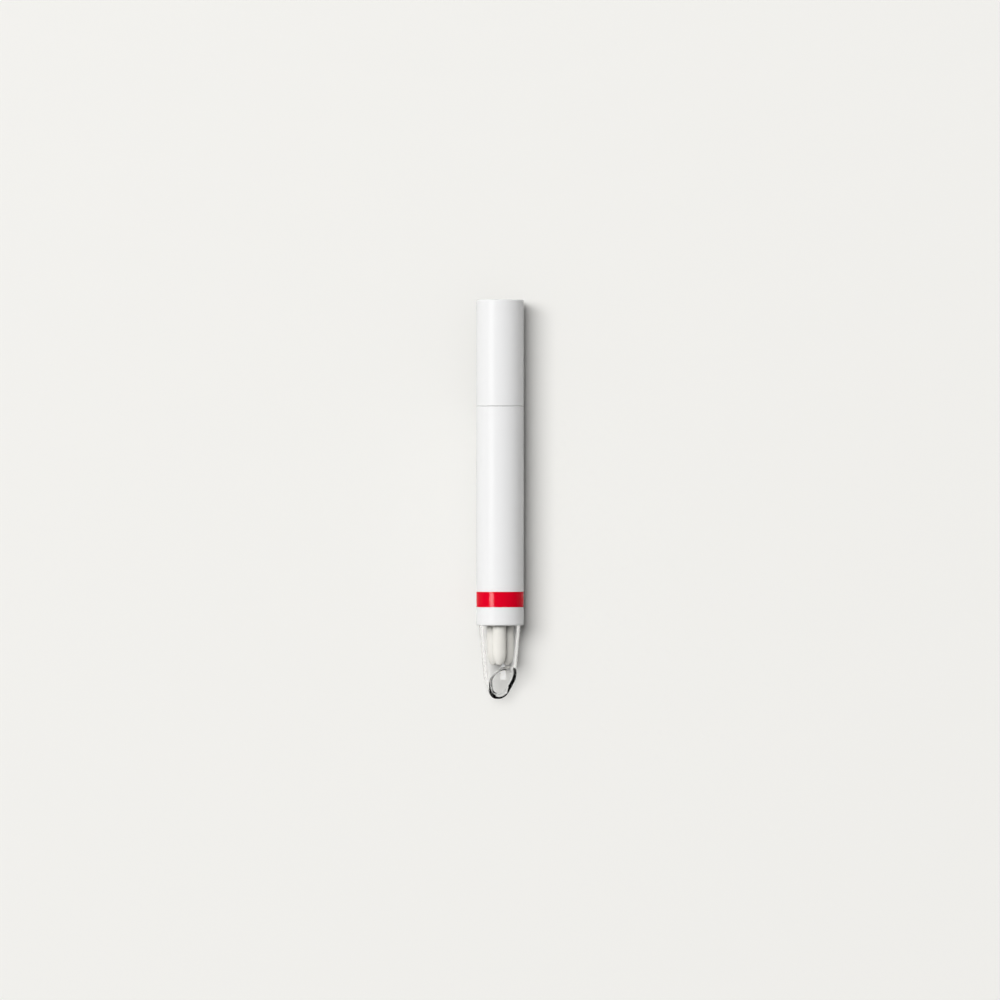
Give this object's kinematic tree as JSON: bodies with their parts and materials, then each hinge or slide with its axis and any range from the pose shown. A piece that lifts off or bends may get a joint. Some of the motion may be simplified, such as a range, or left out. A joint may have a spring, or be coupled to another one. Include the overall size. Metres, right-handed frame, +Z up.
{
  "type": "nail oil pen",
  "caption": "Slim round nail oil pen with a pull-off cap over a felt tip, a red band, and a clear bullet-shaped tail with a slanted hollow end that stores spare felt tips.",
  "frame": {"origin": "on the surface that the pen lies on, under the middle of its length", "axes": "+Y along the pen towards the cap's end, +Z up, +X to the right as seen from the tail with the pen lying flat"},
  "size_m": [0.012, 0.1013, 0.012],
  "materials": {
    "white_plastic": "moulded white plastic with a soft gloss",
    "natural_plastic": "moulded natural plastic, slightly milky",
    "red_plastic": "glossy red band, flush with the barrel",
    "felt": "pressed ivory felt",
    "wick_fibre": "bundled fibres along the rod",
    "wad_fibre": "oil-soaked polyester fibre",
    "film": "thin clear film",
    "clear_plastic": "polished clear plastic"
  },
  "bodies": {
    "barrel": {"barrel": "white_plastic", "red_band": "red_plastic", "front_section": "white_plastic", "feed_wick": "wick_fibre", "oil_wad": "wad_fibre", "wad_wrap": "film", "tip_rack": "natural_plastic", "spare_tip_1": "felt", "spare_tip_2": "felt", "spare_tip_3": "felt"},
    "cap": {"cap_shell": "white_plastic", "cap_liner": "natural_plastic"},
    "tail": {"clear_tail": "clear_plastic"},
    "tip": {"applicator_tip": "felt"}
  },
  "joints": [
    {"name": "cap_pull", "type": "slide", "parent": "barrel", "child": "cap", "axis": [0, 1, 0], "range_m": [0, 0.03]},
    {"name": "tail_pull", "type": "slide", "parent": "barrel", "child": "tail", "axis": [0, -1, 0], "range_m": [0, 0.025]},
    {"name": "tip_pull", "type": "slide", "parent": "barrel", "child": "tip", "axis": [0, 1, 0], "range_m": [0, 0.0094]}
  ]
}
